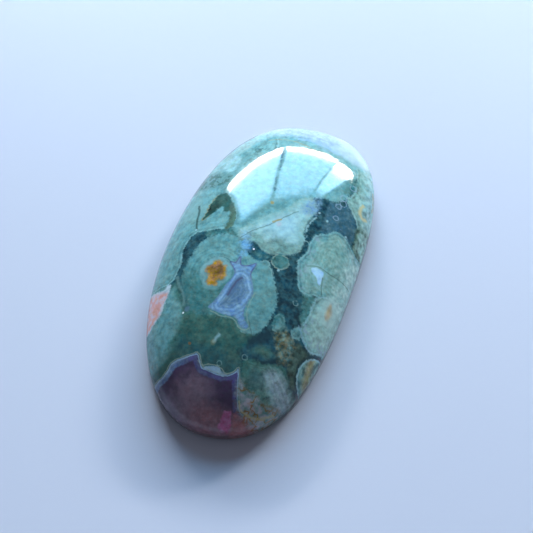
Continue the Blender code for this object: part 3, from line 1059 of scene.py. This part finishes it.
def lay_agate(rock, tint):
    """Blue agate pocket: a violet rim, a pale zone and a greyer core with slanting seams."""
    reach = rock.reach("agate_star", 0.4) + 0.05
    rim = rock.step(reach, 0.20, 0.04) * (rock.northward(-4.2, -3.2, 0.5) * 0.6 + 0.3)
    tone = rock.mix(rim, tint.agate_blue, tint.violet)
    tone = rock.mix(rock.line(reach - 0.36, 0.22) * 0.15, tone, tint.periwinkle)
    core = rock.reach("agate_core", 0.4)
    tone = rock.mix(rock.step(core, -0.15, 0.15), tone, tint.agate_grey)
    tone = rock.mix(rock.line(core, 0.09) * 0.3, tone, tint.lavender)
    tone = rock.mix(rock.line(core + 0.28, 0.16) * 0.4, tone, tint.periwinkle)
    rock.lay(rock.step(reach, -0.08, 0.08), tone, 0.35, rock.ripples(core, 0.42) * 0.12)
    rock.vein("core_seam", tint.agate_dark, 0.5, 0.7, 0.04)
    rock.vein("core_seam", tint.plum, 0.2, 0.55, 0.07)
    rock.vein("core_seam_low", tint.agate_dark, 0.16, 0.6, 0.04)
    rock.vein("cream_right", tint.cream, 0.12, 0.3, 0.06)
    rock.vein("cream_below", tint.cream, 0.10, 0.45, 0.06)


def lay_rust(rock, tint):
    """Iron cluster in its pale halo."""
    away = rock.away(-2.95, -4.3)
    rock.lay(rock.step(away, 1.80, 1.2) * 0.10, tint.milk)
    rock.lay(rock.line(away - 1.45, 0.30) * rock.eastward(-2.4, -3.4, 0.3) * 0.25, tint.milk)
    rock.vein("halo_arc", tint.matrix, 0.08, 0.6)
    reach = rock.reach("rust_cluster", 1.2) + 0.06
    brown = rock.step(rock.away(-2.8, -4.0, 0.3) + rock.grit * 0.3, 1.2, 0.3)
    tone = rock.mix(brown, tint.rust, tint.rust_brown)
    tone = rock.mix(rock.line(reach - 0.08, 0.22) * 0.3, tone, tint.gold)
    rock.lay(rock.line(reach + 0.30, 0.32) * 0.25, tint.milk)
    rock.lay(rock.step(reach + rock.grit * 0.08, -0.18, 0.18), tone, 1.2)


def lay_right_rust(rock, tint):
    """Gold moss, bronze outlines beside the end pocket and the rusty pebble at the right edge."""
    spots = rock.mix(rock.step(rock.mottle + rock.grit * 0.04, 0.34, 0.78), tint.olive, tint.sage)
    spots = rock.mix(rock.step(rock.speck * 0.4 + rock.patches, -0.4, 0.6) * 0.7, spots, tint.gold)
    rock.lay(rock.within("moss", -0.2, 0.4, 2.5) * 0.8, spots, 0.9, -0.15)
    bronze = rock.mix(rock.step(rock.mottle + rock.patches * 0.05, 0.30, 0.74), tint.sage, tint.blush)
    outlines = rock.line(rock.wander_too + rock.ragged_too * 0.12, 0.18)
    bronze = rock.mix(rock.larger(outlines, rock.step(rock.patches, 0.2, 0.8) * 0.7), bronze, tint.rust)
    rock.lay(rock.within("bronze", -0.6, 0.5, 2.5) * 0.85, bronze, 0.6)
    rock.vein("bronze_line", tint.straw, 0.16, 0.7, 0.1)
    pebble = rock.reach("pebble")
    rock.lay(rock.line(pebble + 0.12, 0.16) * 0.7, tint.deep)
    inside = rock.mix(rock.step(rock.mottle + rock.grit * 0.04, 0.26, 0.70), tint.teal_deep, tint.sage)
    heart = rock.line(rock.east - 8.75 + rock.patches * 0.1, 0.5) * rock.northward(-12.0, -11.2)
    inside = rock.mix(heart * 0.8, inside, tint.gold)
    shell = rock.mix(rock.step(pebble, 0.08, 0.20), tint.milk, inside)
    rock.lay(rock.step(pebble, -0.05, 0.05), shell, 0.9)


def lay_patches(rock, tint):
    """Pink patch at the left edge and the clear quartz patch at the right."""
    reach = rock.reach("salmon", 1.6)
    clouds = rock.mix(rock.step(rock.mottle + rock.grit * 0.06, 0.42, 0.66), tint.salmon, tint.blush)
    fringe = rock.step(reach + rock.ragged_too * 0.15, 0.35, 0.0)
    fringe = rock.larger(fringe, rock.northward(-7.4, -6.7, 0.3))
    rock.lay(rock.step(reach, -0.10, 0.14), rock.mix(fringe, clouds, tint.haze), 0.5)
    quartz = rock.reach("quartz", 0.6)
    rock.lay(rock.line(quartz + 0.25, 0.3) * 0.4, tint.milk)
    rock.lay(rock.step(quartz, -0.06, 0.14), tint.ice, 0.25)
    rock.vein("quartz_line", tint.olive, 0.09, 0.6)
    rock.vein("quartz_crack", tint.olive, 0.08, 0.7)


def lay_small_marks(rock, tint):
    """Rims, rings, spots, hairlines and painted glints."""
    tan = rock.reach("tan_spot", 0.8)
    rock.lay(rock.step(tan, -0.65, -0.1) * 0.55, tint.frost)
    rock.lay(rock.step(tan, 0.0, 0.45) * 0.8, tint.tan, 0.8)
    rock.vein("orb_two_rim", tint.celadon, 0.10, 0.6, 0.06)
    rock.vein("orb_border", tint.milk, 0.24, rock.step(rock.patches, -0.3, 0.2) * 0.7, 0.14)
    rock.vein("low_orb_rim", tint.ice, 0.10, 0.3, 0.08)
    rock.vein("orb_crack", tint.olive, 0.07, 0.7)
    rock.vein("far_arc", tint.gold, 0.12, 0.5, 0.06)
    rock.vein("far_streak", tint.periwinkle, 0.30, 0.5, 0.10)
    rock.vein("gold_hook", tint.straw, 0.30, 0.9, 0.08)
    rock.dot(8.8, 9.15, 0.35, tint.olive, 0.5)
    rock.vein("edge_stain", tint.rust, 0.12, 0.5, 0.06)
    rock.vein("low_crack", tint.olive, 0.08, 0.5)
    rock.vein("gold_fleck", tint.gold, 0.20, 0.85, 0.08)
    rock.vein("pale_fleck", tint.milk, 0.30, 0.75, 0.10)
    for x, y, radius in LAVENDER_RINGS:
        rock.ring(x, y, radius, tint.lavender, 0.11, 0.6)
    for x, y, radius in CELADON_RINGS:
        rock.ring(x, y, radius, tint.celadon, 0.10, 0.5)
    for x, y, radius in PALE_DOTS:
        rock.dot(x, y, radius, tint.milk, 0.8)
    # Painted highlights: white glints.
    for x, y, radius in GLINTS:
        rock.dot(x, y, radius, tint.glint, 0.9)
    rock.dot(1.25, 3.05, 0.45, tint.blush, 0.5, 0.8)
    rock.dot(-0.25, 5.4, 0.30, tint.gold, 0.9)
    rock.dot(-0.7, -11.3, 0.40, tint.gold, 0.4, 0.9)
    rock.dot(-2.9, -12.0, 0.18, tint.rust_brown, 0.8)
    rock.dot(-4.4, -8.65, 0.40, tint.agate_grey, 0.6)
    rock.dot(-7.45, -4.2, 0.40, tint.olive, 0.35)
    rock.dot(4.35, -15.6, 0.45, tint.blush, 0.6, 0.6)


# The markings in the order in which they are laid, each over those before it
LAYERS = (
    lay_ground, lay_bodies, lay_lights, lay_great_orb, lay_darks, lay_end_pocket, lay_agate, lay_rust,
    lay_right_rust, lay_patches, lay_small_marks,
)


def make_jasper(tint):
    """The rock's material: polished, with painted shade darkening the girdle and a paler, duller ground
    back.
    """
    material = bpy.data.materials.new("jasper_polish")
    rock = Rock(material)
    for lay in LAYERS:
        lay(rock, tint)
    # Painted shade: olive darkens the girdle just below the dome.
    girdle = rock.step(rock.field("depth"), 0.0, 0.3)
    rock.lay(girdle * 0.35, tint.olive)
    back = rock.step(rock.field("depth"), 0.9, 1.4)
    rock.lay(back * 0.12, tint.milk)

    # The polish is uneven and slightly pitted, and the back is only ground
    rough = rock.step(rock.mottle, 0.35, 0.75) * 0.07 + 0.05 + back * 0.38
    pits = rock.step(rock.speck + rock.patches * 0.5, 0.5, 0.9) * -0.04
    swell = rock.noise(rock.place, 0.35, 1) * 0.6 + rock.fine * 0.015 + pits + back * rock.fine * 0.2
    bump = rock.add("ShaderNodeBump", {}, {"Strength": 0.35, "Distance": 0.1 * MM, "Height": swell})
    rock.feed({
        "Base Color": rock.colour,
        "Roughness": rough,
        "Normal": bump,
        "IOR": 1.54,
        "Subsurface Weight": 0.06,
        "Subsurface Radius": (0.4, 0.8, 1.0),
        "Subsurface Scale": 0.6 * MM,
    })
    return material


def make_floor_material(colour):
    """A plain, faintly glossy floor."""
    material = bpy.data.materials.new("pale_floor")
    Nodes(material).feed({"Base Color": colour, "Roughness": 0.45})
    return material


def make_glow_material(name):
    """A material that only shines, by the colour held in its mesh."""
    material = bpy.data.materials.new(name)
    nodes = Nodes(material)
    nodes.feed({
        "Base Color": (0.0, 0.0, 0.0),
        "Roughness": 1.0,
        "Emission Color": nodes.field("glow", "Color"),
        "Emission Strength": 1.0,
    })
    return material


class JASPER_OT_stone(bpy.types.Operator):
    """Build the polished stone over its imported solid"""

    bl_idname = "jasper.stone"
    bl_label = "Build stone"

    def execute(self, context):
        stone = bpy.data.objects.new("polished_stone", make_stone_mesh(context.scene.jasper_sizes))
        context.scene.collection.objects.link(stone)
        stone.data.materials.append(make_jasper(context.scene.jasper_colours))
        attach(stone, "root")
        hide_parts("cabochon")
        return {"FINISHED"}


def add_camera(context, stage):
    """The camera, turned to the stone's middle and then slid within its own view."""
    forward = Vector((
        -math.sin(stage.azimuth) * math.cos(stage.elevation),
        math.cos(stage.azimuth) * math.cos(stage.elevation),
        -math.sin(stage.elevation),
    ))
    right = forward.cross(Vector((0, 0, 1))).normalized()
    up = right.cross(forward)
    camera = bpy.data.objects.new("camera", bpy.data.cameras.new("camera"))
    context.scene.collection.objects.link(camera)
    turn = Matrix((right, up, -forward)).transposed()
    place = -forward * stage.distance + right * stage.slide_right + up * stage.slide_up
    camera.matrix_world = Matrix.Translation(place) @ turn.to_4x4()
    camera.data.sensor_width = SENSOR_WIDTH
    camera.data.lens = stage.lens
    camera.data.clip_start = 1 * MM
    context.scene.camera = camera


def add_floor(context, stage):
    """A square floor under the stone's back."""
    bpy.ops.mesh.primitive_grid_add(x_subdivisions=8, y_subdivisions=8, size=FLOOR_SIZE)
    floor = context.object
    floor.name = "floor"
    floor.data.materials.append(make_floor_material(stage.floor_colour))


def add_light(context, stage, name, corners, shares, glows):
    """A sheet of light beyond the far end, with a radiance at each share of its height."""
    beyond = Vector((-math.sin(stage.pane_azimuth), math.cos(stage.pane_azimuth), 0.0))
    across = Vector((math.cos(stage.pane_azimuth), math.sin(stage.pane_azimuth), 0.0))
    low_left, low_right, high_right, high_left = corners
    vertices = []
    colours = []
    for share, glow in zip(shares, glows):
        for low, high in ((low_left, high_left), (low_right, high_right)):
            slope, rise = Vector(low).lerp(Vector(high), share)
            vertices.append((beyond + across * slope + Vector((0, 0, rise))) * stage.pane_distance)
            colours += [*glow, 1.0]
    faces = [(first, first + 1, first + 3, first + 2) for first in range(0, len(vertices) - 2, 2)]
    mesh = bpy.data.meshes.new(name)
    mesh.from_pydata(vertices, [], faces)
    mesh.attributes.new("glow", "FLOAT_COLOR", "POINT").data.foreach_set("color", colours)
    mesh.materials.append(make_glow_material(name))
    light = bpy.data.objects.new(name, mesh)
    context.scene.collection.objects.link(light)
    light.visible_camera = False


def add_lights(context, stage):
    """Three tall soft light panes beyond the far end, brightest along their low edges, over a dim wall."""
    for index, (*corners, brightness, strip) in enumerate(PANES):
        shares = (0.0, strip, strip * 2.0, strip * 3.5, 0.75, 0.88, 1.0)
        glows = [[part * brightness for part in glow] for glow in PANE_GLOW]
        add_light(context, stage, f"light_pane_{index}", corners, shares, glows)
    add_light(context, stage, "dim_wall", WALL, (0.0, 1.0), (WALL_GLOW, WALL_GLOW))


def add_room(context, stage):
    """Dim even light from all around."""
    world = bpy.data.worlds.new("room")
    world.use_nodes = True
    background = world.node_tree.nodes["Background"]
    background.inputs["Color"].default_value = (*stage.room_colour, 1.0)
    background.inputs["Strength"].default_value = stage.room_strength
    context.scene.world = world
    context.scene.view_settings.view_transform = "Standard"


class JASPER_OT_stage(bpy.types.Operator):
    """Build the camera, the floor and the light"""

    bl_idname = "jasper.stage"
    bl_label = "Build stage"

    def execute(self, context):
        for add in (add_camera, add_floor, add_lights, add_room):
            add(context, context.scene.jasper_stage)
        return {"FINISHED"}


class JASPER_PT_panel(bpy.types.Panel):
    """The stone's sizes and colours and its operators"""

    bl_idname = "JASPER_PT_panel"
    bl_label = "Jasper cabochon"
    bl_space_type = "VIEW_3D"
    bl_region_type = "UI"
    bl_category = "Jasper"

    def draw(self, context):
        scene = context.scene
        for group in (scene.jasper_sizes, scene.jasper_colours, scene.jasper_stage):
            for name in group.__annotations__:
                self.layout.prop(group, name)
        self.layout.operator("jasper.stone")
        self.layout.operator("jasper.stage")


GROUPS = {"jasper_sizes": JasperSizes, "jasper_colours": JasperColours, "jasper_stage": JasperStage}
CLASSES = (*GROUPS.values(), JASPER_OT_stone, JASPER_OT_stage, JASPER_PT_panel)


def register():
    for item in CLASSES:
        bpy.utils.register_class(item)
    for name, group in GROUPS.items():
        setattr(bpy.types.Scene, name, bpy.props.PointerProperty(type=group))


def unregister():
    for name in GROUPS:
        delattr(bpy.types.Scene, name)
    for item in reversed(CLASSES):
        bpy.utils.unregister_class(item)


def main():
    register()
    bpy.ops.jasper.stone()
    bpy.ops.jasper.stage()


if __name__ == "__main__":
    main()
